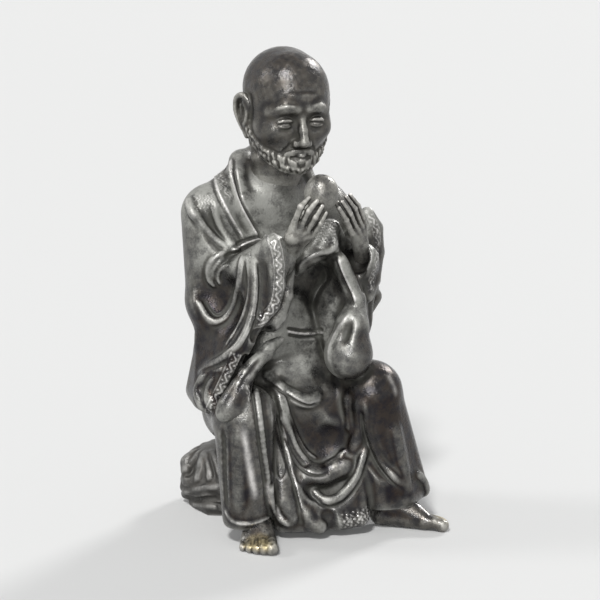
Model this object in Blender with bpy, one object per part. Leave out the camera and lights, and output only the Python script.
"""Bronze figure of a seated monk holding a round fruit, cast in sections and pinned together.

The figure sits on a rock and faces -Y, with +Z up and its right side at -X. Each casting is
modelled as rounded masses that are skinned into one closed body. The robe's folds are laid over
all its masses at once, so that they run on from casting to casting. Where two castings meet, the
carrier is cut by its neighbour's shape plus a clearance, which gives every tenon its socket.
"""

import math
from collections import namedtuple

import bmesh
import bpy
import numpy as np
import openvdb
from mathutils import Euler, Matrix, Vector

MM = 0.001

# Fits
CLEARANCE = 0.3 * MM
PIN_RADIUS = 0.9 * MM
PIN_CLEARANCE = 0.2 * MM
WRIST_PIN_RADIUS = 0.6 * MM
CUT_OVERRUN = 20 * MM

# Rock seat
SEAT_HALF_WIDTH = 21.5 * MM
SEAT_HALF_DEPTH = 17 * MM
SEAT_SETBACK = 20 * MM
SEAT_HEIGHT = 20 * MM
SEAT_LEDGES = 3
SEAT_LEDGE_DEPTH = 1.7 * MM
SEAT_LOBES = 7
SEAT_LOBE_DEPTH = 1.1 * MM
SEAT_SIDES = 36

# Tang of the lower body, its wedge and the pocket under the seat
TANG_WIDTH = 7 * MM
TANG_THICKNESS = 5 * MM
TANG_TIP_HEIGHT = 4 * MM
TANG_ROOT_HEIGHT = 32 * MM
POCKET_RADIUS = 7 * MM
POCKET_HEIGHT = 14 * MM
WEDGE_LENGTH = 12.6 * MM
WEDGE_WIDTH = 2.4 * MM
WEDGE_HEAD_HEIGHT = 3.4 * MM
WEDGE_TIP_HEIGHT = 2.6 * MM
BASE_PLATE_RADIUS = 9.6 * MM
BASE_PLATE_THICKNESS = 1.4 * MM
BASE_PLATE_RECESS = 0.3 * MM

# Lower body
HIP_SPREAD = 7.8 * MM
HIP_SHIFT = 1.3 * MM
HIP_HEIGHT = 33 * MM
HIP_SETBACK = 14 * MM
HIP_RADIUS = 11 * MM
SEAT_PAD_RADIUS = 6.5 * MM
SEAT_PAD_SINK = 1 * MM
RIGHT_KNEE = Vector((-21, -16, 39.5)) * MM
LEFT_KNEE = Vector((20.5, -21.5, 43)) * MM
KNEE_RADIUS = 9.3 * MM
RIGHT_ANKLE = Vector((-20, -15.5, 0)) * MM
LEFT_ANKLE = Vector((26.5, -25.5, 0)) * MM
SHIN_RADIUS = 7.4 * MM
RIGHT_HEM_HEIGHT = 5.2 * MM
LEFT_HEM_HEIGHT = 7.2 * MM
APRON_HEM_HEIGHT = 2.2 * MM
WAIST_HEIGHT = 58 * MM
WAIST_RADIUS = 12 * MM
WAIST_SPREAD = 8 * MM
WAIST_SPIGOT_RADIUS = 9 * MM
WAIST_SPIGOT_LENGTH = 10 * MM
WAIST_CORE_RADIUS = 5 * MM
WAIST_CORE_DEPTH = 40 * MM

# Upper body
CHEST_SPREAD = 11 * MM
CHEST_HEIGHT = 84 * MM
CHEST_RADIUS = 12.5 * MM
TORSO_SETBACK = 5 * MM
RIGHT_SHOULDER = Vector((-20, 5, 98)) * MM
LEFT_SHOULDER = Vector((16.5, 5, 96)) * MM
SHOULDER_RADIUS = 8.5 * MM
COLLAR_RADIUS = 3.2 * MM

# Arms and sleeves
RIGHT_ELBOW = Vector((-21, 1, 72)) * MM
LEFT_ELBOW = Vector((24.5, -1, 71)) * MM
UPPER_SLEEVE_RADIUS = 9.2 * MM
FORE_SLEEVE_RADIUS = 5.8 * MM
SLEEVE_EDGE_RADIUS = 2.4 * MM
RIGHT_SLEEVE_DROP = 43.8 * MM
LEFT_SLEEVE_DROP = 55.7 * MM
INNER_SLEEVE_RADIUS = 2.4 * MM
SHOULDER_BOSS_RADIUS = 4.5 * MM
SHOULDER_BOSS_LENGTH = 9 * MM

# Hands and fruit: balls along the palm, the four fingers and the thumb as (x, y, z, radius) in millimetres
RIGHT_WRIST = Vector((-10.1, -20.6, 88.5)) * MM
LEFT_WRIST = Vector((18, -19.9, 85.4)) * MM
RIGHT_PALM = ((-7.8, -20, 89.4, 2.6), (-9.4, -24.5, 94.2, 2.3))
RIGHT_FINGERS = (
    ((-9.2, -26, 99.2, 1.25), (-8.4, -28, 103.9, 1.1), (-5.4, -27.5, 106.1, 0.8)),
    ((-7.5, -26.5, 98, 1.3), (-6.4, -29, 102.7, 1.15), (-3.8, -29.5, 105.6, 0.85)),
    ((-5.4, -26.5, 96.6, 1.3), (-4.3, -29.2, 100.8, 1.15), (-2.3, -29.8, 104, 0.85)),
    ((-3.4, -26, 94.8, 1.2), (-2.2, -28.5, 98.7, 1.05), (-0.6, -29, 101.6, 0.8)),
)
RIGHT_THUMB = ((-7.4, -23.5, 94.5, 1.6), (-4.7, -23, 100.5, 1.3), (-2.3, -23.5, 104.8, 1))
LEFT_PALM = ((19.4, -17.5, 84.7, 2.4), (17.1, -20.5, 89.5, 2.2))
LEFT_FINGERS = (
    ((11.4, -24.5, 93.7, 1.05), (8.1, -26.5, 98.3, 0.95), (5, -27.5, 102.4, 0.75)),
    ((13.5, -24, 94.4, 1.05), (9.6, -26.2, 100, 0.95), (6.3, -27, 104, 0.75)),
    ((15.4, -23.2, 95.3, 1.05), (11.8, -25.2, 101.1, 0.95), (8.2, -26.2, 105.2, 0.75)),
    ((17, -22.4, 96.2, 1), (13.8, -24, 101.7, 0.9), (10.3, -25, 105.5, 0.7)),
)
LEFT_THUMB = ((14.7, -21.5, 91.4, 1.4), (10.1, -22, 98.6, 1.1), (7.3, -22.5, 102.9, 0.85))
WRIST_TENON_RADIUS = 2.3 * MM
WRIST_TENON_LENGTH = 9 * MM
PEACH_CENTRE = Vector((0.2, -25.4, 107.7)) * MM
PEACH_RADIUS = 4.9 * MM
PEACH_PEG_RADIUS = 0.5 * MM

# Head
HEAD_CENTRE = Vector((-0.6, -5.6, 130.7)) * MM
HEAD_TURN = -8
HEAD_NOD = 9
CRANIUM_RADIUS = 12.3 * MM
HEAD_HALF_HEIGHT = 17.8 * MM
NECK_RADIUS = 8.2 * MM
NECK_TENON_RADIUS = 5.5 * MM
NECK_TENON_LENGTH = 12 * MM
NECK_BASE = Vector((0, 4, 100)) * MM
EAR_RADIUS = 1.3 * MM
EAR_LENGTH = 9.2 * MM

# Feet
RIGHT_FOOT = Vector((-17, -17.5, 0)) * MM
LEFT_FOOT = Vector((28.5, -26.5, 0)) * MM
RIGHT_FOOT_TURN = -31
LEFT_FOOT_TURN = 52
FOOT_LENGTH = 23.5 * MM
FOOT_BALL_WIDTH = 6.6 * MM
TOES = 5
TOE_RADIUS = 1.9 * MM
ANKLE_RADIUS = 4.2 * MM
ANKLE_TENON_RADIUS = 3.2 * MM
ANKLE_TENON_TOP = 22 * MM

# Folds of the robe. Each is drawn as (across, height) in millimetres, on the plane square to the line of
# sight through the figure's middle, as seen from the side that SIGHT_TURN and SIGHT_RISE give.
SIGHT_TURN = -30
SIGHT_RISE = 12
SIGHT_HEIGHT = 75 * MM
SIGHT_DISTANCE = 700 * MM
SIGHT_STEP = 0.25 * MM
FOLD_FADE = 0.15
Fold = namedtuple("Fold", "kind width height path")
FOLDS = (
    # Pocket in the crook of the near sleeve, and the hollows of the near arm
    Fold("hollow", 5.5, 2.2, ((-20.3, 73.9), (-18.8, 69.9), (-17.2, 66.5))),
    Fold("hollow", 1.6, 0.7, ((-4.9, 81.6), (-4.6, 74.5), (-5.2, 67.8), (-7.7, 60.7))),
    Fold("hollow", 4, 1, ((-22.8, 92.1), (-20.6, 86.5))),
    # Hollows of the skirt, from the near leg to the far shin
    Fold("hollow", 1.6, 0.9, ((-4.6, 41.6), (-3.1, 29.3), (-2.2, 17.6))),
    Fold("hollow", 1.5, 0.9, ((-0.9, 39.2), (0.6, 31.8), (2.5, 25), (4.6, 18.8), (6.8, 13.9))),
    Fold("hollow", 4.5, 2, ((6.8, 30.5), (9.8, 24.7), (13.5, 22.2), (17.5, 24.4))),
    Fold("hollow", 3, 1, ((16, 38.5), (19.1, 33.6), (22.8, 29.9))),
    Fold("hollow", 2.6, 2, ((10.5, 12.7), (13.5, 11.8), (17.2, 12.7), (20.6, 15.5))),
    Fold("hollow", 2.2, 0.9, ((25.5, 34.5), (27.1, 26.2), (29.8, 20.7), (33.2, 16.4))),
    Fold("hollow", 1.6, 0.9, ((15.1, 4.7), (16, 1.6), (16.3, -1.2))),
    # Rolls of the near sleeve: the pocket's rim, the long fold, the low lobe, the elbow and the shoulder
    Fold(
        "roll",
        1.4,
        1.1,
        ((-24.6, 69.3), (-22.5, 65.3), (-19.7, 63.2), (-16.3, 64.1), (-13.5, 68.1), (-10.8, 83.5)),
    ),
    Fold("roll", 1.2, 1.1, ((-7.7, 82.8), (-7.1, 76.7), (-7.4, 69), (-9.2, 61.6), (-12.3, 56.1), (-22.8, 49.3))),
    Fold("roll", 1.4, 0.9, ((-22.8, 46.2), (-24.6, 42.2), (-23.4, 37.9), (-21.5, 35.5))),
    Fold("roll", 0.9, 0.9, ((-15.7, 85), (-19.1, 83.2), (-21.2, 80.4), (-21.2, 76.7), (-19.4, 74.2))),
    Fold("roll", 1.3, 0.9, ((-26.2, 99.5), (-24.3, 94.5), (-21.5, 89.9), (-19.7, 87.5))),
    Fold("roll", 1.3, 0.8, ((-19.7, 98.2), (-17.8, 92.7), (-15.1, 88.1), (-12.3, 85.3))),
    # Rolls of the far sleeve: the near edge of its drop, and the lip of its far edge
    Fold(
        "roll",
        1,
        1,
        ((18.5, 83.5), (20.9, 78.5), (23.7, 69.3), (21.2, 64.7), (17.8, 60.7), (15.7, 52.1), (17.2, 48.1)),
    ),
    Fold("roll", 1, 0.8, ((25.5, 66.2), (27.4, 60.7), (28.3, 54.5), (26.8, 49))),
    # Edges and swags of the skirt
    Fold("roll", 0.9, 0.8, ((-7.1, 43.5), (-5.8, 35.5), (-4.6, 25.3), (-3.4, 15.8), (-2.5, 6.8), (-1.5, 3.2))),
    Fold(
        "roll",
        1.1,
        1.2,
        ((-0.3, 44.4), (0.9, 38.2), (2.8, 31.8), (4.9, 25.3), (7.4, 21.3), (12.6, 17.9), (20.9, 23.8)),
    ),
    Fold("roll", 2.2, 0.9, ((9.5, 16.1), (13.5, 14.8), (17.5, 16.7), (21.2, 20.4))),
    Fold("roll", 1.25, 1.4, ((10.8, 11.8), (12, 9.6), (14.8, 8.1), (18.5, 9), (23.7, 15.2), (27.1, 24.7))),
    Fold("roll", 1.2, 0.8, ((22.8, 23.2), (24.3, 27.8), (24.9, 33), (24.6, 37.9))),
    Fold("roll", 1.3, 0.9, ((26.8, 37.9), (27.7, 31.2), (29.2, 25.9), (31.7, 20.7), (38.2, 13.3))),
    Fold("roll", 1.6, 0.9, ((-1.2, 45), (1.8, 42.5), (5.5, 40.1), (9.2, 38.8), (12.6, 40.1))),
    Fold("roll", 1.2, 1, ((42.5, 16.4), (44.6, 14.2), (46.2, 9.6))),
    Fold("roll", 1.4, 0.9, ((8, 5.6), (10.2, 1.3), (13.5, -0.8))),
)

# Skinning
FINE_VOXEL = 0.45 * MM
SPHERE_RINGS = 9
ROUND_SIDES = 20
PIN_SIDES = 12
ROBE_LOW = np.array((-44, -50, -4)) * MM
ROBE_HIGH = np.array((48, 46, 126)) * MM
ROBE_VOXEL = 0.6 * MM
ROBE_BAND = 12
ROBE_BLEND = 1.2 * MM
FOLD_REACH = 1 * MM
FRINGE = 0.5 * MM
GROWN_VOXEL = 0.3 * MM
GROWN_FACES = 1
HAIR = 0.02 * MM
FAR = 30 * MM

BRONZE = (0.115, 0.1, 0.082)
WORN_BRONZE = (0.2, 0.17, 0.13)
COPPER = (0.24, 0.15, 0.1)

ASSEMBLY = None


def clear_scene():
    for obj in list(bpy.data.objects):
        bpy.data.objects.remove(obj)


def metal(name, colour, roughness):
    material = bpy.data.materials.new(name)
    material.use_nodes = True
    shader = material.node_tree.nodes["Principled BSDF"]
    shader.inputs["Base Color"].default_value = (*colour, 1)
    shader.inputs["Roughness"].default_value = roughness
    shader.inputs["Metallic"].default_value = 0.9
    return material


def sphere_points(centre, radius):
    """Points on a sphere, in rings from pole to pole."""
    points = [Vector((0, 0, 1)), Vector((0, 0, -1))]
    for ring in range(1, SPHERE_RINGS):
        polar = math.pi * ring / SPHERE_RINGS
        for step in range(2 * SPHERE_RINGS):
            turn = math.pi * step / SPHERE_RINGS
            flat = math.sin(polar)
            points.append(Vector((flat * math.cos(turn), flat * math.sin(turn), math.cos(polar))))
    return [Vector(centre) + radius * p for p in points]


def add_hull(mass, spheres):
    """Adds to a mesh the tight skin round several spheres, each given as a centre and a radius."""
    hull = bmesh.new()
    for centre, radius in spheres:
        for point in sphere_points(centre, radius):
            hull.verts.new(point)
    bmesh.ops.convex_hull(hull, input=hull.verts[:])
    bmesh.ops.delete(hull, geom=[v for v in hull.verts if not v.link_faces], context="VERTS")
    bmesh.ops.recalc_face_normals(hull, faces=hull.faces[:])
    mesh = bpy.data.meshes.new("hull")
    hull.to_mesh(mesh)
    hull.free()
    mass.from_mesh(mesh)
    bpy.data.meshes.remove(mesh)


def add_chain(mass, spheres):
    """Adds a rounded limb that runs from sphere to sphere."""
    for first, second in zip(spheres, spheres[1:]):
        add_hull(mass, (first, second))


def object_of(name, shape):
    mesh = bpy.data.meshes.new(name)
    shape.to_mesh(mesh)
    shape.free()
    obj = bpy.data.objects.new(name, mesh)
    bpy.context.scene.collection.objects.link(obj)
    return obj


def quad_object(name, points, quads):
    """The largest of the closed bodies that quads make, facing outward."""
    mesh = bpy.data.meshes.new(name)
    mesh.from_pydata(points.tolist(), [], quads.tolist())
    shape = bmesh.new()
    shape.from_mesh(mesh)
    bpy.data.meshes.remove(mesh)
    bmesh.ops.recalc_face_normals(shape, faces=shape.faces[:])
    obj = object_of(name, shape)
    largest_body(obj)
    return obj


def bake(obj):
    """Replaces an object's mesh by what its modifiers make of it."""
    graph = bpy.context.evaluated_depsgraph_get()
    mesh = bpy.data.meshes.new_from_object(obj.evaluated_get(graph))
    obj.modifiers.clear()
    obj.data = mesh


def thin(obj, faces):
    """Thins a mesh of quads to a count of triangles."""
    decimate = obj.modifiers.new("Decimate", "DECIMATE")
    decimate.ratio = min(1.0, faces / (2 * len(obj.data.polygons)))
    bake(obj)


def skin(name, mass, faces, voxel=FINE_VOXEL, smoothing=3):
    """One closed body round overlapping masses, rounded where they meet and thinned to a face count."""
    obj = object_of(name, mass)
    remesh = obj.modifiers.new("Remesh", "REMESH")
    remesh.mode = "VOXEL"
    remesh.voxel_size = voxel
    smooth = obj.modifiers.new("Smooth", "SMOOTH")
    smooth.iterations = smoothing
    bake(obj)
    thin(obj, faces)
    return obj


def combine(obj, other, operation):
    boolean = obj.modifiers.new(operation, "BOOLEAN")
    boolean.operation = operation
    boolean.solver = "EXACT"
    boolean.use_self = True
    boolean.object = other
    bake(obj)


def join(obj, other):
    combine(obj, other, "UNION")
    bpy.data.objects.remove(other)


def carve(obj, other):
    combine(obj, other, "DIFFERENCE")
    bpy.data.objects.remove(other)


def copy_of(obj):
    copy = obj.copy()
    copy.data = obj.data.copy()
    bpy.context.scene.collection.objects.link(copy)
    return copy


def swollen(obj, amount):
    """A copy of a plain bar or plate that stands out by an amount all over."""
    copy = copy_of(obj)
    swell = copy.modifiers.new("Displace", "DISPLACE")
    swell.strength = amount
    swell.mid_level = 0
    bake(copy)
    return copy


def grown(obj, amount):
    """A shape that stands out from a casting by an amount all over, rounded at its edges."""
    obj.data.calc_loop_triangles()
    points = np.array([v.co for v in obj.data.vertices]) / GROWN_VOXEL
    triangles = np.array([t.vertices for t in obj.data.loop_triangles])
    grid = openvdb.FloatGrid.createLevelSetFromPolygons(
        points.astype(np.float32),
        triangles=triangles.astype(np.uint32),
        halfWidth=amount / GROWN_VOXEL + 3,
    )
    points, quads = grid.convertToQuads(isovalue=amount / GROWN_VOXEL)
    shape = quad_object("grown", points * GROWN_VOXEL, quads)
    thin(shape, GROWN_FACES * len(triangles))
    return shape


def rod(name, start, end, radius, sides=ROUND_SIDES, end_radius=None):
    """A straight round bar between two points, which may taper."""
    start, end = Vector(start), Vector(end)
    shape = bmesh.new()
    bmesh.ops.create_cone(
        shape,
        cap_ends=True,
        segments=sides,
        radius1=radius,
        radius2=radius if end_radius is None else end_radius,
        depth=(end - start).length,
    )
    turn = (end - start).to_track_quat("Z", "Y").to_matrix().to_4x4()
    shape.transform(Matrix.Translation((start + end) / 2) @ turn)
    return object_of(name, shape)


def box(name, low, high):
    shape = bmesh.new()
    bmesh.ops.create_cube(shape, size=1)
    low, high = Vector(low), Vector(high)
    shape.transform(Matrix.Translation((low + high) / 2) @ Matrix.Diagonal((*(high - low), 1)))
    return object_of(name, shape)


def trim_below(obj, height):
    """Cuts away what lies under a height."""
    span = 1
    carve(obj, box("trim", (-span, -span, height - span), (span, span, height)))


def trim_above(obj, height):
    span = 1
    carve(obj, box("trim", (-span, -span, height), (span, span, height + span)))


def largest_body(obj):
    """Drops the crumbs that a cut leaves beside the main body."""
    shape = bmesh.new()
    shape.from_mesh(obj.data)
    unseen = set(shape.verts)
    bodies = []
    while unseen:
        front = [unseen.pop()]
        body = set(front)
        while front:
            for edge in front.pop().link_edges:
                for vert in edge.verts:
                    if vert in unseen:
                        unseen.discard(vert)
                        body.add(vert)
                        front.append(vert)
        bodies.append(body)
    bodies.sort(key=len)
    bmesh.ops.delete(shape, geom=[v for body in bodies[:-1] for v in body], context="VERTS")
    shape.to_mesh(obj.data)
    shape.free()


def merge_slivers(obj):
    """Merges the points that a cut leaves less than a hair apart, and drops the slivers between them."""
    shape = bmesh.new()
    shape.from_mesh(obj.data)
    bmesh.ops.triangulate(shape, faces=shape.faces[:])
    bmesh.ops.remove_doubles(shape, verts=shape.verts[:], dist=HAIR)
    bmesh.ops.dissolve_degenerate(shape, edges=shape.edges[:], dist=HAIR)
    bmesh.ops.triangulate(shape, faces=shape.faces[:])
    shape.to_mesh(obj.data)
    shape.free()


def finish(obj, material):
    obj.data.materials.clear()
    obj.data.materials.append(material)
    obj.data.shade_smooth()
    obj.data.set_sharp_from_angle(angle=math.radians(40))
    obj.parent = ASSEMBLY


def at(x, y, z):
    """A point given in millimetres."""
    return Vector((x, y, z)) * MM


def ball(x, y, z, radius):
    """A sphere given in millimetres."""
    return at(x, y, z), radius * MM


# Clay

def soft_min(a, b, blend):
    """The smaller of two distances, rounded over where they are within the blend of each other."""
    if blend <= 0:
        return np.minimum(a, b)
    near = np.maximum(blend - np.abs(a - b), 0) / blend
    return np.minimum(a, b) - near * near * blend / 4


class Clay:
    """A solid held as distances to its surface on a grid. It grows from masses and loses others."""

    def __init__(self):
        self.size = np.ceil((ROBE_HIGH - ROBE_LOW) / ROBE_VOXEL).astype(int) + 1
        self.field = np.full(self.size, FAR, np.float32)

    def window(self, low, high):
        """The first and last grid lines that hold a box."""
        first = np.floor((np.array(low) - ROBE_LOW) / ROBE_VOXEL).astype(int)
        last = np.ceil((np.array(high) - ROBE_LOW) / ROBE_VOXEL).astype(int) + 1
        return np.clip(first, 0, self.size), np.clip(last, 0, self.size)

    def put(self, first, last, distance, blend, hollow):
        part = self.field[first[0]:last[0], first[1]:last[1], first[2]:last[2]]
        if hollow:
            part[...] = -soft_min(-part, distance, blend)
        else:
            part[...] = soft_min(part, distance, blend)

    def hull(self, *spheres, blend=1 * MM, hollow=False):
        """Adds the tight skin round several spheres, each given as a centre and a radius."""
        mass = bmesh.new()
        add_hull(mass, spheres)
        bmesh.ops.triangulate(mass, faces=mass.faces[:])
        mass.verts.index_update()
        points = np.array([v.co for v in mass.verts])
        faces = np.array([[v.index for v in f.verts] for f in mass.faces])
        mass.free()
        reach = ROBE_VOXEL * (ROBE_BAND + 1)
        first, last = self.window(points.min(axis=0) - reach, points.max(axis=0) + reach)
        if (last <= first).any():
            return
        grid = openvdb.FloatGrid.createLevelSetFromPolygons(
            ((points - ROBE_LOW) / ROBE_VOXEL).astype(np.float32),
            triangles=faces.astype(np.uint32),
            halfWidth=float(ROBE_BAND),
        )
        distance = np.empty(last - first, np.float32)
        grid.copyToArray(distance, ijk=tuple(int(i) for i in first))
        self.put(first, last, distance * ROBE_VOXEL, blend, hollow)

    def chain(self, *spheres, blend=1 * MM, hollow=False):
        """Adds a rounded limb that runs from sphere to sphere."""
        for (start, start_radius), (end, end_radius) in zip(spheres, spheres[1:]):
            start, end = np.array(start), np.array(end)
            reach = max(start_radius, end_radius) + blend + 2 * ROBE_VOXEL
            first, last = self.window(np.minimum(start, end) - reach, np.maximum(start, end) + reach)
            if (last <= first).any():
                continue
            lines = [ROBE_LOW[k] + ROBE_VOXEL * np.arange(first[k], last[k]) for k in range(3)]
            offset = [line - start[k] for k, line in enumerate(np.ix_(*lines))]
            along = end - start
            share = sum(offset[k] * along[k] for k in range(3)) / max(along @ along, 1e-12)
            share = np.clip(share, 0, 1)
            gap = np.sqrt(sum((offset[k] - share * along[k]) ** 2 for k in range(3)))
            distance = gap - (start_radius + share * (end_radius - start_radius))
            self.put(first, last, distance.astype(np.float32), blend, hollow)

    def floor(self, height):
        """Cuts the solid off flat at a height."""
        self.field = np.maximum(self.field, height - self.heights())

    def heights(self):
        return (ROBE_LOW[2] + ROBE_VOXEL * np.arange(self.size[2], dtype=np.float32))[None, None, :]

    def sample(self, points):
        """The distances at points, read between the grid's values."""
        place = (np.asarray(points) - ROBE_LOW) / ROBE_VOXEL
        inside = ((place >= 0) & (place <= self.size - 1)).all(axis=-1)
        corner = np.clip(np.floor(place).astype(int), 0, self.size - 2)
        share = np.clip(place - corner, 0, 1)
        value = 0
        for step in np.ndindex(2, 2, 2):
            weight = np.prod(np.where(step, share, 1 - share), axis=-1)
            index = corner + np.array(step)
            value = value + weight * self.field[index[..., 0], index[..., 1], index[..., 2]]
        return np.where(inside, value, FAR)

    def outward(self, points):
        """The way out of the solid at points."""
        step = 1.5 * ROBE_VOXEL
        slope = [self.sample(points + step * axis) - self.sample(points - step * axis) for axis in np.eye(3)]
        slope = np.stack(slope, axis=-1)
        return slope / np.maximum(np.linalg.norm(slope, axis=-1), 1e-9)[..., None]

    def seen(self, across, height):
        """Where a line of sight first meets the solid, or passes nearest to it."""
        eye, direction = sight_line(across, height)
        span = np.linalg.norm(ROBE_HIGH - ROBE_LOW) / 2
        steps = np.arange(SIGHT_DISTANCE - span, SIGHT_DISTANCE + span, SIGHT_STEP)
        line = np.array(eye) + np.array(direction) * steps[:, None]
        value = self.sample(line)
        first = np.argmax(value < 0)
        if value[first] < 0:
            return line[first]
        nearest = line[value.argmin()]
        for _ in range(4):
            nearest = nearest - self.sample(nearest) * self.outward(nearest)
        return nearest

    def lay(self, fold):
        """Raises a roll of cloth along a fold's path, or presses a hollow."""
        points = np.array([self.seen(*point) for point in drawn_out(fold.path)])
        for _ in range(2):
            points[1:-1] = 0.25 * points[:-2] + 0.5 * points[1:-1] + 0.25 * points[2:]
        share = np.linspace(0, 1, len(points))
        height = fold.height * np.clip(np.minimum(share, 1 - share) / FOLD_FADE, 0, 1) ** 0.5
        lift = height - fold.width if fold.kind == "roll" else fold.width - height
        points = points + self.outward(points) * lift[:, None] * MM
        radius = fold.width * MM
        self.chain(*((point, radius) for point in points), blend=0.9 * radius, hollow=fold.kind == "hollow")


def sight_line(across, height):
    """The eye, and the direction in which it sees a point of the plane that folds are drawn on."""
    turn, rise = math.radians(SIGHT_TURN), math.radians(SIGHT_RISE)
    back = Vector((math.sin(turn) * math.cos(rise), -math.cos(turn) * math.cos(rise), math.sin(rise)))
    right = Vector((math.cos(turn), math.sin(turn), 0))
    centre = Vector((0, 0, SIGHT_HEIGHT))
    point = centre + right * across * MM + back.cross(right) * (height * MM - SIGHT_HEIGHT)
    eye = centre + SIGHT_DISTANCE * back
    return eye, (point - eye).normalized()


def drawn_out(path, pieces=5):
    """A smooth curve through a path's points."""
    path = np.array(path, float)
    ends = np.vstack((2 * path[0] - path[1], path, 2 * path[-1] - path[-2]))
    curve = []
    for a, b, c, d in zip(ends, ends[1:], ends[2:], ends[3:]):
        for share in np.arange(pieces) / pieces:
            bend = 2 * b + (c - a) * share + (2 * a - 5 * b + 4 * c - d) * share**2
            curve.append((bend + (3 * b - 3 * c + d - a) * share**3) / 2)
    return np.vstack((curve, path[-1]))


def clay_skin(name, field, faces, smoothing=2):
    """The surface of a clay solid as an object: its thin fringes are worn off, and it is thinned to a face count."""
    grid = openvdb.FloatGrid(FAR / ROBE_VOXEL)
    grid.copyFromArray(np.ascontiguousarray(field / ROBE_VOXEL, dtype=np.float32))
    points, quads = grid.convertToQuads(isovalue=0.0)
    for offset in (-FRINGE, FRINGE):
        grid = openvdb.FloatGrid.createLevelSetFromPolygons(points, quads=quads, halfWidth=4.0)
        points, quads = grid.convertToQuads(isovalue=offset / ROBE_VOXEL)
    obj = quad_object(name, ROBE_LOW + ROBE_VOXEL * points, quads)
    smooth = obj.modifiers.new("Smooth", "SMOOTH")
    smooth.iterations = smoothing
    bake(obj)
    thin(obj, faces)
    return obj


# Rock seat

def seat_ring(height, inset):
    """The lobed outline of the rock at a height."""
    points = []
    for step in range(SEAT_SIDES):
        turn = 2 * math.pi * step / SEAT_SIDES
        lobe = SEAT_LOBE_DEPTH * math.sin(SEAT_LOBES * turn + 3 * height / SEAT_HEIGHT) - inset
        across = (SEAT_HALF_WIDTH + lobe) * math.cos(turn)
        along = (SEAT_HALF_DEPTH + lobe) * math.sin(turn)
        points.append(Vector((across, SEAT_SETBACK + along, height)))
    return points


def rock_seat():
    """A lobed rock whose sides step in ledges, open below for the wedge."""
    ledge = SEAT_HEIGHT / SEAT_LEDGES
    rings = [seat_ring(0, 2 * SEAT_LEDGE_DEPTH)]
    for step in range(SEAT_LEDGES):
        foot = SEAT_LEDGE_DEPTH * (1 - step / SEAT_LEDGES)
        rings.append(seat_ring((step + 0.4) * ledge, foot))
        rings.append(seat_ring((step + 0.8) * ledge, foot))
        rings.append(seat_ring((step + 1) * ledge, foot + SEAT_LEDGE_DEPTH))
    shape = bmesh.new()
    loops = [[shape.verts.new(p) for p in ring] for ring in rings]
    for lower, upper in zip(loops, loops[1:]):
        for i in range(SEAT_SIDES):
            j = (i + 1) % SEAT_SIDES
            shape.faces.new((lower[i], lower[j], upper[j], upper[i]))
    shape.faces.new(loops[0][::-1])
    shape.faces.new(loops[-1])
    obj = object_of("rock_seat", shape)
    axis = Vector((0, SEAT_SETBACK, 0))
    below = Vector((0, 0, CUT_OVERRUN))
    carve(obj, rod("pocket", axis - below, axis + Vector((0, 0, POCKET_HEIGHT)), POCKET_RADIUS))
    rebate_top = Vector((0, 0, BASE_PLATE_RECESS + BASE_PLATE_THICKNESS + CLEARANCE))
    rebate_radius = BASE_PLATE_RADIUS + CLEARANCE
    carve(obj, rod("rebate", axis - below, axis + rebate_top, rebate_radius))
    return obj


def base_plate():
    foot = Vector((0, SEAT_SETBACK, BASE_PLATE_RECESS))
    return rod("base_plate", foot, foot + Vector((0, 0, BASE_PLATE_THICKNESS)), BASE_PLATE_RADIUS)


def seat_wedge():
    """A tapered key through the tang, bearing on the roof of the seat's pocket."""
    top = POCKET_HEIGHT - CLEARANCE
    half = WEDGE_LENGTH / 2
    shape = bmesh.new()
    ends = []
    for x, height in ((-half, WEDGE_HEAD_HEIGHT), (half, WEDGE_TIP_HEIGHT)):
        corners = ((-1, top - height), (1, top - height), (1, top), (-1, top))
        ends.append(
            [shape.verts.new((x, SEAT_SETBACK + side * WEDGE_WIDTH / 2, z)) for side, z in corners]
        )
    for i in range(4):
        j = (i + 1) % 4
        shape.faces.new((ends[0][i], ends[0][j], ends[1][j], ends[1][i]))
    shape.faces.new(ends[0][::-1])
    shape.faces.new(ends[1])
    bmesh.ops.recalc_face_normals(shape, faces=shape.faces[:])
    return object_of("seat_wedge", shape)


# Robe

def hip(side):
    return Vector((side * HIP_SPREAD + HIP_SHIFT, HIP_SETBACK, HIP_HEIGHT))


def waist():
    return [(Vector((s * WAIST_SPREAD, 6 * MM, WAIST_HEIGHT)), WAIST_RADIUS) for s in (-1, 1)]


def shoulder(side):
    return RIGHT_SHOULDER if side < 0 else LEFT_SHOULDER


def elbow(side):
    return RIGHT_ELBOW if side < 0 else LEFT_ELBOW


def leg_clay(side, hip_radius, knee, ankle, hem_height, flare):
    """A robed leg, cut off at its hem."""
    clay = Clay()
    thigh = hip(side) - Vector((0, 3 * MM, 0))
    hem = ankle + Vector((0, 0, hem_height + 3 * MM))
    outer = hem + Vector((side * flare, 2 * MM, 1 * MM))
    inner = hem - Vector((side * 0.6 * flare, 1 * MM, 1 * MM))
    clay.hull((thigh, hip_radius), (knee, KNEE_RADIUS))
    clay.hull((knee, KNEE_RADIUS), (hem, SHIN_RADIUS), (outer, 5 * MM), (inner, 5 * MM), blend=2 * MM)
    clay.floor(hem_height)
    return clay


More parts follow.
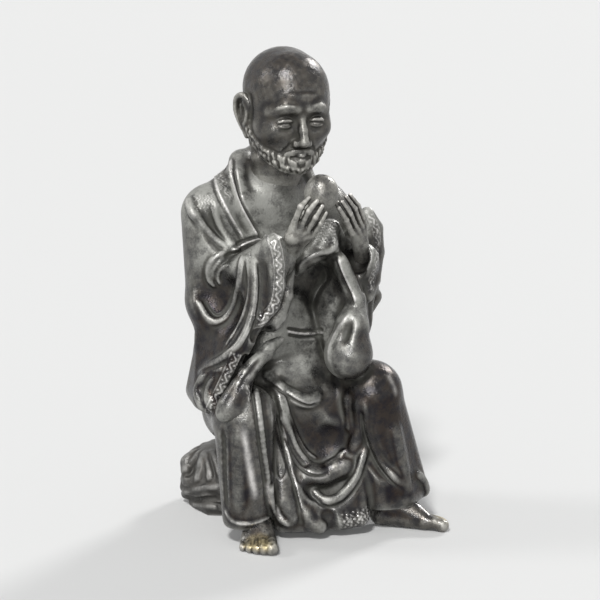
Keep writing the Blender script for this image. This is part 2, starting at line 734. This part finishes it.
def lower_body_clay():
    """Hips, lap and skirt, with the two legs."""
    clay = Clay()
    blend = 2 * MM
    hips = ((hip(-1), HIP_RADIUS), (hip(1), 1.09 * HIP_RADIUS))
    clay.hull(*hips, ball(0, 18, 32, 12), ball(0, 8, 44, 13))
    clay.hull(*hips, *waist(), ball(0, 0, 46, 12), blend=blend)
    pad = SEAT_HEIGHT + SEAT_PAD_RADIUS - SEAT_PAD_SINK
    pads = [Vector((x * MM, y * MM, pad)) for x, y in ((-5, 16), (9, 16), (0, 25))]
    clay.hull(*((point, SEAT_PAD_RADIUS) for point in pads), blend=blend)
    clay.hull(ball(-13, -4, 38, 9), ball(15, -8, 41, 9), ball(0, -1, 45, 10), ball(0, 4, 52, 11), blend=blend)
    near_flank = (ball(-14, 4, 28, 4), ball(-17.5, -6, 7, 3), ball(-14, 6, 14, 3))
    far_flank = (ball(17, 5, 30, 7), ball(28, -14, 12, 4), ball(17, 8, 14, 4))
    clay.hull((RIGHT_KNEE, 0.82 * KNEE_RADIUS), *near_flank, blend=blend)
    clay.hull((LEFT_KNEE, 0.82 * KNEE_RADIUS), *far_flank, blend=blend)
    core = (ball(-12, -8, 14, 6), ball(-10, 6, 18, 6), ball(19, -14, 14, 6), ball(12, 6, 18, 6))
    clay.hull(*core, ball(-9, -2, 38, 9), ball(11, -4, 38, 9))
    foot = APRON_HEM_HEIGHT / MM + 2.8
    apron_foot = (ball(-9, -19, foot, 3.2), ball(1, -24.5, foot, 3.2), ball(13, -27, foot + 0.5, 3.2))
    clay.hull(ball(-14, -11, 39, 6), ball(1, -11, 42, 6), ball(16, -16, 42, 6), *apron_foot, blend=blend)
    belly = (ball(0.7, -5, 56.5, 6), ball(10, -5, 55.4, 6), ball(2.6, -9, 49.8, 6.5))
    clay.hull(*belly, ball(3.7, -12, 44, 4.2), ball(-3.1, -9, 48, 4.5), blend=1.5 * MM)
    panel = (ball(-8.4, -14, 42.3, 3), ball(-10, -18, 27.8, 3), ball(-10.1, -20.5, 12.6, 3.4))
    clay.hull(*panel, ball(-8.2, -21.5, 7.5, 3.2), ball(-10.2, -19.5, 9.2, 3))
    clay.floor(APRON_HEM_HEIGHT)
    right = leg_clay(-1, HIP_RADIUS, RIGHT_KNEE, RIGHT_ANKLE, RIGHT_HEM_HEIGHT, 1.5 * MM)
    left = leg_clay(1, 1.18 * HIP_RADIUS, LEFT_KNEE, LEFT_ANKLE, LEFT_HEM_HEIGHT, 8 * MM)
    clay.field = soft_min(soft_min(clay.field, right.field, 1.5 * MM), left.field, blend)
    return clay


def upper_body_clay():
    """Torso, shoulders and the collar behind the neck."""
    clay = Clay()
    blend = 2 * MM
    chest = [(Vector((s * CHEST_SPREAD, TORSO_SETBACK, CHEST_HEIGHT)), CHEST_RADIUS) for s in (-1, 1)]
    shoulders = [(shoulder(side), SHOULDER_RADIUS) for side in (-1, 1)]
    clay.hull(*waist(), *chest)
    clay.hull(*chest, *shoulders, ball(0, 8, 96, 10), blend=blend)
    nape = (ball(-6, 8.5, 106, 7), ball(6, 8.5, 106, 7))
    clay.hull(*shoulders, *nape, (NECK_BASE, 9 * MM), blend=blend)
    clay.hull(ball(-5, -3, 58, 9), ball(5, -3, 58, 9), ball(0, -3, 68, 8), blend=3 * MM)
    path = ((0, 12.5, 113, 1.15), (7, 10.5, 112, 1.1), (11.5, 5, 108.6, 0.88), (13, -1, 103, 0.5))
    for side in (-1, 1):
        clay.chain(*((at(side * x, y, z), COLLAR_RADIUS * share) for x, y, z, share in path), blend=1.5 * MM)
    return clay


def arm_clay(side, wrist, cuff_radius):
    clay = Clay()
    top = shoulder(side) + Vector((side * 1 * MM, -1 * MM, 0))
    cuff = wrist.lerp(elbow(side), 0.1)
    clay.hull((top, UPPER_SLEEVE_RADIUS), (elbow(side), UPPER_SLEEVE_RADIUS))
    clay.hull((elbow(side), UPPER_SLEEVE_RADIUS), (cuff, cuff_radius), blend=2 * MM)
    return clay


def right_sleeve_clay():
    """The near sleeve: its bag hangs from the forearm to the outside of the thigh, open at the front."""
    clay = arm_clay(-1, RIGHT_WRIST, FORE_SLEEVE_RADIUS)
    edge = SLEEVE_EDGE_RADIUS / MM
    drop = RIGHT_SLEEVE_DROP / MM
    near_edge = (ball(-13.8, -21.5, 91.7, edge + 1), ball(-13.4, -22, 87, edge + 0.6))
    near_edge += (ball(-13.6, -22, 80, edge + 0.4), ball(-14.8, -21.5, 74, edge + 0.2))
    near_edge += (ball(-18.3, -20.5, 70, edge),)
    low_edge = (ball(-24.5, -17.5, 60, edge - 0.2), ball(-26.5, -15.5, 52.8, edge - 0.2))
    low_edge += (ball(-29.4, -12.5, drop, edge),)
    heel = ball(-22.5, 2, 58.5, 2 * edge)
    back = (ball(-25.3, 3, drop + 0.3, 2 * edge), ball(-29.1, -5, drop - 0.8, edge + 0.8))
    clay.hull((RIGHT_ELBOW, 8 * MM), *near_edge, heel, blend=2 * MM)
    clay.hull(near_edge[-1], *low_edge, heel, *back, blend=2 * MM)
    clay.chain(*near_edge, *low_edge)
    far_edge = (ball(-6.7, -17.5, 86.7, 1.5), ball(-6.1, -18, 82.5, 1.5), ball(-6.9, -18, 75.2, 1.5))
    far_edge += (ball(-8.7, -17.5, 68.6, 1.4), ball(-11.6, -16.5, 65, 1.2))
    clay.hull(ball(-15, -10, 82, 4), *far_edge[:3])
    clay.hull(ball(-17, -8, 70, 4), *far_edge[2:])
    slit = (ball(-10.9, -22.5, 86.8, 0.9), ball(-10.6, -22.5, 79.8, 1), ball(-11.8, -22, 73.2, 1.1))
    mouth = (ball(-13, -22.5, 71.3, 1.2), ball(-15.4, -22, 67.5, 1.9), ball(-19.7, -21, 65, 2))
    throat = (ball(-13.8, -18, 64, 3), ball(-17.4, -17, 61.2, 2.6), ball(-21.2, -16.5, 57.6, 1.6))
    gap = (ball(-22.6, -19, 58.3, 1.3), ball(-25.2, -18, 51.9, 1.1), ball(-28.3, -15, 43.6, 0.9))
    for hollow in (slit, mouth, throat, gap):
        clay.chain(*hollow, blend=0.8 * MM, hollow=True)
    return clay


def left_sleeve_clay():
    """The far sleeve: a wide mouth round the wrist, and a long drop that rests on the lap."""
    clay = arm_clay(1, LEFT_WRIST, 0.93 * FORE_SLEEVE_RADIUS)
    edge = SLEEVE_EDGE_RADIUS / MM
    drop = LEFT_SLEEVE_DROP / MM
    near_lobe = (ball(5.7, -20, 97.2, edge), ball(7.2, -20.5, 91.4, edge), ball(3.2, -18.5, 90.2, edge - 0.2))
    clay.hull(*near_lobe, ball(2, -17, 86.4, edge - 0.4), ball(16, -8, 84, 5), blend=2 * MM)
    far_edge = (ball(23.3, -14, 96.8, edge - 0.4), ball(26.3, -14, 92.2, edge - 0.2))
    far_edge += (ball(26.6, -14.5, 84.7, edge - 0.2), ball(24.4, -16, 77.1, edge - 0.4))
    far_edge += (ball(21.4, -18, 72.1, edge - 0.8),)
    clay.hull(*far_edge, ball(22, -6, 80, 6), blend=2 * MM)
    clay.chain(*far_edge)
    root = (ball(18, -12, 76, 5), ball(14.5, -21, 73.5, 2.6), ball(10, -20, 85.5, 2.4))
    clay.hull((LEFT_ELBOW, 7 * MM), *root, blend=2 * MM)
    tear = (ball(14.9, -22, 72, 2.8), ball(12, -24, 65, 4.8), ball(10.5, -24.5, drop + 1.2, 7))
    clay.chain(*tear, ball(10.3, -24.5, drop, 6.8), blend=2 * MM)
    side = (ball(18.1, -17, 67.9, 3), ball(18.5, -17, drop + 1.2, 3.4), ball(25, 0, 60, 5))
    clay.hull((LEFT_ELBOW, 7 * MM), *side, blend=2 * MM)
    mouth = (ball(17.1, -19, 83.4, 3.6), ball(11.4, -24, 91.5, 5), ball(6.8, -28, 97.5, 6))
    clay.chain(*mouth, hollow=True)
    clay.chain(ball(15.8, -20.5, 81.9, 2.4), ball(16.3, -22, 75.9, 1.3), blend=0.8 * MM, hollow=True)
    return clay


def robe():
    """The robe's four castings, each the part of one folded solid that lies on its own mass."""
    clays = {
        "right_sleeve": right_sleeve_clay(),
        "left_sleeve": left_sleeve_clay(),
        "upper_body": upper_body_clay(),
        "lower_body": lower_body_clay(),
    }
    whole = Clay()
    for clay in clays.values():
        whole.field = soft_min(whole.field, clay.field, ROBE_BLEND)
    for fold in FOLDS:
        whole.lay(fold)
    faces = {"right_sleeve": 3200, "left_sleeve": 2600, "upper_body": 1900, "lower_body": 4600}
    made = {}
    for name, clay in clays.items():
        folded = np.maximum(whole.field, clay.field - FOLD_REACH)
        made[name] = clay_skin(name, folded, faces[name])
    fit_waist(made["upper_body"], made["lower_body"])
    join(made["right_sleeve"], shoulder_boss(-1))
    join(made["left_sleeve"], shoulder_boss(1))
    return list(made.values())


def fit_waist(upper, lower):
    """Parts the body at the waist: the upper half has a hollow spigot, and the lower half the seat's tang."""
    trim_below(upper, WAIST_HEIGHT + CLEARANCE / 2)
    trim_above(lower, WAIST_HEIGHT - CLEARANCE / 2)
    top = Vector((0, TORSO_SETBACK, WAIST_HEIGHT + 3 * MM))
    foot = Vector((0, TORSO_SETBACK, WAIST_HEIGHT - WAIST_SPIGOT_LENGTH))
    join(upper, rod("spigot", foot, top, WAIST_SPIGOT_RADIUS))
    core_top = foot + Vector((0, 0, WAIST_CORE_DEPTH))
    carve(upper, rod("core", foot - Vector((0, 0, CUT_OVERRUN)), core_top, WAIST_CORE_RADIUS))
    tang = (TANG_WIDTH / 2, TANG_THICKNESS / 2)
    low = (-tang[0], SEAT_SETBACK - tang[1], TANG_TIP_HEIGHT)
    high = (tang[0], SEAT_SETBACK + tang[1], TANG_ROOT_HEIGHT)
    join(lower, box("tang", low, high))


def shoulder_boss(side):
    outer = shoulder(side) - Vector((0, 0, 3 * MM))
    inner = outer - Vector((side * SHOULDER_BOSS_LENGTH, 0, 0))
    return rod("boss", outer, inner, SHOULDER_BOSS_RADIUS)


def right_inner_sleeve():
    """The tongue of the under-robe that hangs out of the near cuff."""
    mass = bmesh.new()
    edge = INNER_SLEEVE_RADIUS / MM
    root = (ball(-9.1, -17, 61.7, 0.5 * edge), ball(-13.2, -18, 60.9, 0.7 * edge))
    neck = (ball(-14.1, -18.5, 59.6, 0.85 * edge), ball(-19.5, -19.5, 56.1, 0.9 * edge))
    middle = (ball(-22.5, -20, 53.6, edge), ball(-24.9, -20.5, 50.3, 1.15 * edge))
    broad = (ball(-28.3, -20, 44.8, 1.3 * edge), ball(-25.2, -21, 44.6, 1.1 * edge))
    tip = (ball(-29.1, -19.5, 42.6, 1.3 * edge), ball(-24.8, -21, 43.3, 1.15 * edge))
    add_hull(mass, (*root, ball(-14.8, -18.5, 58.1, 0.7 * edge)))
    add_hull(mass, (*neck, middle[0]))
    add_hull(mass, (*middle, *broad))
    add_hull(mass, (middle[1], *tip))
    return skin("right_inner_sleeve", mass, 420, smoothing=4)


# Hands

def hand(name, side, wrist, palm, fingers, thumb):
    """A hand whose fingers lie side by side and curl over the fruit."""
    mass = bmesh.new()
    roots = [finger[0] for finger in fingers]
    add_hull(mass, (*(ball(*point) for point in palm), *(ball(x, y, z, 0.85 * r) for x, y, z, r in roots)))
    for finger in fingers:
        add_chain(mass, [ball(*point) for point in finger])
    add_chain(mass, [ball(*point) for point in (palm[1], *thumb)])
    obj = skin(name, mass, 760, voxel=0.8 * FINE_VOXEL)
    arm = (wrist - elbow(side)).normalized()
    join(obj, rod("tenon", wrist + arm * 1.5 * MM, wrist - arm * WRIST_TENON_LENGTH, WRIST_TENON_RADIUS))
    return obj


def peach():
    mass = bmesh.new()
    add_hull(mass, ((PEACH_CENTRE, PEACH_RADIUS),))
    return skin("peach", mass, 260)


# Head

def head():
    mass = bmesh.new()
    turn = Euler((math.radians(HEAD_NOD), 0, math.radians(HEAD_TURN))).to_matrix()

    def local(x, y, z, radius):
        return HEAD_CENTRE + turn @ at(x, y, z), radius

    crown = HEAD_HALF_HEIGHT - CRANIUM_RADIUS
    top = crown / MM
    low = -HEAD_HALF_HEIGHT / MM
    cranium = (local(0, 3, top - 0.4, CRANIUM_RADIUS), local(0, -2, top, 0.98 * CRANIUM_RADIUS))
    add_hull(mass, (*cranium, local(0, 4, top - 4, 0.94 * CRANIUM_RADIUS)))
    cheeks = (local(-4, -5, -4, 8.6 * MM), local(4, -5, -4, 8.6 * MM))
    jaw = (local(-3.6, -6.5, low + 6.8, 5 * MM), local(3.6, -6.5, low + 6.8, 5 * MM))
    add_hull(mass, (*cheeks, *jaw, local(0, -10.6, low + 3.6, 3.6 * MM), cranium[1]))
    brow = (local(-5.4, -11.6, 2.8, 1.6 * MM), local(0, -13, 2.2, 1.6 * MM), local(5.4, -11.6, 2.8, 1.6 * MM))
    add_chain(mass, brow)
    add_hull(mass, (local(0, -13.4, 1.6, 1.1 * MM), local(0, -16, -4, 1.8 * MM), local(0, -13, -5, 2.4 * MM)))
    lips = (local(-2.6, -13.6, -9, 1 * MM), local(0, -14.4, -9, 1.3 * MM), local(2.6, -13.6, -9, 1 * MM))
    add_chain(mass, lips)
    for side in (-1, 1):
        ear = (local(side * 12.4, -0.6, 1.6, EAR_RADIUS), local(side * 13.6, 3, 1.8, EAR_RADIUS))
        lobe = local(side * 12, 0.4, 1.8 - EAR_LENGTH / MM, EAR_RADIUS)
        back = local(side * 13.4, 3, -2.5, EAR_RADIUS)
        add_hull(mass, (*ear, back, lobe, local(side * 10.6, 0, -2, EAR_RADIUS)))
    throat = HEAD_CENTRE + turn @ at(0, 2, -11)
    neck = NECK_BASE.lerp(throat, 0.3)
    add_hull(mass, ((throat, NECK_RADIUS), (neck, NECK_RADIUS)))
    add_hull(mass, ((neck, NECK_RADIUS), (NECK_BASE, 1.12 * NECK_RADIUS)))
    obj = skin("head", mass, 1200, voxel=FINE_VOXEL * 1.3, smoothing=4)
    trim_below(obj, NECK_BASE.z - NECK_RADIUS * 0.3)
    join(obj, rod("tenon", NECK_BASE, NECK_BASE - Vector((0, 0, NECK_TENON_LENGTH)), NECK_TENON_RADIUS))
    return obj


# Feet

def foot(name, side, ankle, turn):
    """A bare foot on the ground, with its ankle run up into the hem as a tenon."""
    mass = bmesh.new()
    place = Matrix.Translation(ankle) @ Matrix.Rotation(math.radians(turn), 4, "Z")

    def local(x, y, z, radius):
        return place @ at(-side * x, y, z), radius

    toe_line = -(FOOT_LENGTH / MM - 10.5)
    half = FOOT_BALL_WIDTH / MM / 2
    heel = (local(0, 5.5, 4, 4.4 * MM), local(0, 2, 8, ANKLE_RADIUS))
    ball_line = toe_line + 4.6
    balls = (local(half, ball_line, 2.9, 2.9 * MM), local(-half, ball_line + 1, 2.6, 2.6 * MM))
    add_hull(mass, (*heel, *balls, local(0, -3, 6.2, 4 * MM)))
    for toe in range(TOES):
        share = toe / (TOES - 1)
        radius = TOE_RADIUS * (1.1 - 0.42 * share)
        x = half * 1.28 * (1 - 2 * share)
        y = toe_line + 3 * share * share
        add_hull(mass, (local(x, y, radius / MM, radius), local(0.9 * x, ball_line + share, 2.4, radius)))
    obj = skin(name, mass, 380, voxel=FINE_VOXEL, smoothing=3)
    trim_below(obj, 0)
    root = place @ at(0, 0, 6)
    join(obj, rod("tenon", root, Vector((root.x, root.y, ANKLE_TENON_TOP)), ANKLE_TENON_RADIUS))
    return obj


# Pins

def pins():
    """The pins that lock each tenon in its socket, with the castings that each one passes through."""
    made = {}
    neck = NECK_BASE - Vector((0, 0, 0.6 * NECK_TENON_LENGTH))
    back = Vector((0, 11 * MM, 0))
    made["neck_pin"] = (neck - 0.6 * back, neck + back, PIN_RADIUS)
    waist = Vector((0, TORSO_SETBACK, WAIST_HEIGHT - 0.55 * WAIST_SPIGOT_LENGTH))
    for side, name in ((-1, "right"), (1, "left")):
        inner = waist + Vector((side * (WAIST_CORE_RADIUS + 1 * MM), 0, 0))
        outer = waist + Vector((side * (WAIST_SPIGOT_RADIUS + 7 * MM), 0, 0))
        made[f"{name}_waist_pin"] = (inner, outer, PIN_RADIUS)
        boss = shoulder(side) - Vector((side * 0.7 * SHOULDER_BOSS_LENGTH, 0, 3 * MM))
        made[f"{name}_shoulder_pin"] = (boss - 0.4 * back, boss + 0.75 * back, PIN_RADIUS)
        wrist = RIGHT_WRIST if side < 0 else LEFT_WRIST
        arm = (wrist - elbow(side)).normalized()
        middle = wrist - arm * 0.68 * WRIST_TENON_LENGTH
        across = arm.cross(Vector((0, 0, 1))).normalized() * (WRIST_TENON_RADIUS + 2.2 * MM)
        made[f"{name}_wrist_pin"] = (middle - across, middle + across, WRIST_PIN_RADIUS)
        ankle = (RIGHT_FOOT if side < 0 else LEFT_FOOT) + Vector((0, 0, ANKLE_TENON_TOP - 4 * MM))
        reach = Vector((ANKLE_TENON_RADIUS + 3 * MM, 0, 0))
        made[f"{name}_ankle_pin"] = (ankle - reach, ankle + reach, PIN_RADIUS)
    finger = ball(*RIGHT_FINGERS[1][1])[0]
    made["peach_peg"] = (PEACH_CENTRE.lerp(finger, 0.2), finger, PEACH_PEG_RADIUS)
    return made


def fit_together(plain, castings):
    """Cuts each solid by every solid before it in the list, grown by the clearance."""
    solids = [*plain, *castings]
    boxes = {obj.name: bounds(obj) for obj in solids}
    cutters = []
    for obj in solids:
        if obj in castings:
            cutters.append(grown(obj, CLEARANCE))
        else:
            cutters.append(swollen(obj, PIN_CLEARANCE if obj.name.endswith(("pin", "peg")) else CLEARANCE))
    for i, obj in enumerate(castings, len(plain)):
        for j in range(i):
            if boxes_meet(boxes[obj.name], boxes[solids[j].name]):
                combine(obj, cutters[j], "DIFFERENCE")
        largest_body(obj)
        merge_slivers(obj)
    for cutter in cutters:
        bpy.data.objects.remove(cutter)


def bounds(obj):
    points = np.array([v.co for v in obj.data.vertices])
    return points.min(axis=0) - CLEARANCE, points.max(axis=0) + CLEARANCE


def boxes_meet(first, second):
    return bool((first[0] < second[1]).all() and (second[0] < first[1]).all())


def stand_on_origin(solids):
    """Moves the whole figure so that the middle of its footprint is the origin."""
    boxes = [bounds(obj) for obj in solids]
    low = np.min([box[0] for box in boxes], axis=0) + CLEARANCE
    high = np.max([box[1] for box in boxes], axis=0) - CLEARANCE
    ASSEMBLY.location = (-(low[0] + high[0]) / 2, -(low[1] + high[1]) / 2, -low[2])


def main():
    clear_scene()
    global ASSEMBLY
    ASSEMBLY = bpy.data.objects.new("statue", None)
    bpy.context.scene.collection.objects.link(ASSEMBLY)
    pin_solids = [rod(name, *ends, radius, sides=PIN_SIDES) for name, (*ends, radius) in pins().items()]
    sleeves_and_bodies = robe()
    castings = [
        peach(),
        hand("right_hand", -1, RIGHT_WRIST, RIGHT_PALM, RIGHT_FINGERS, RIGHT_THUMB),
        hand("left_hand", 1, LEFT_WRIST, LEFT_PALM, LEFT_FINGERS, LEFT_THUMB),
        head(),
        right_inner_sleeve(),
        foot("right_foot", -1, RIGHT_FOOT, RIGHT_FOOT_TURN),
        foot("left_foot", 1, LEFT_FOOT, LEFT_FOOT_TURN),
        *sleeves_and_bodies,
    ]
    castings.append(rock_seat())
    plain = [*pin_solids, base_plate(), seat_wedge()]
    fit_together(plain, castings)
    solids = [*plain, *castings]
    for obj in solids:
        if obj in plain:
            finish(obj, metal(obj.name, COPPER, 0.4))
        elif obj.name in ("head", "right_hand", "left_hand", "right_foot", "left_foot", "peach"):
            finish(obj, metal(obj.name, WORN_BRONZE, 0.38))
        else:
            finish(obj, metal(obj.name, BRONZE, 0.48))
    stand_on_origin(solids)


main()
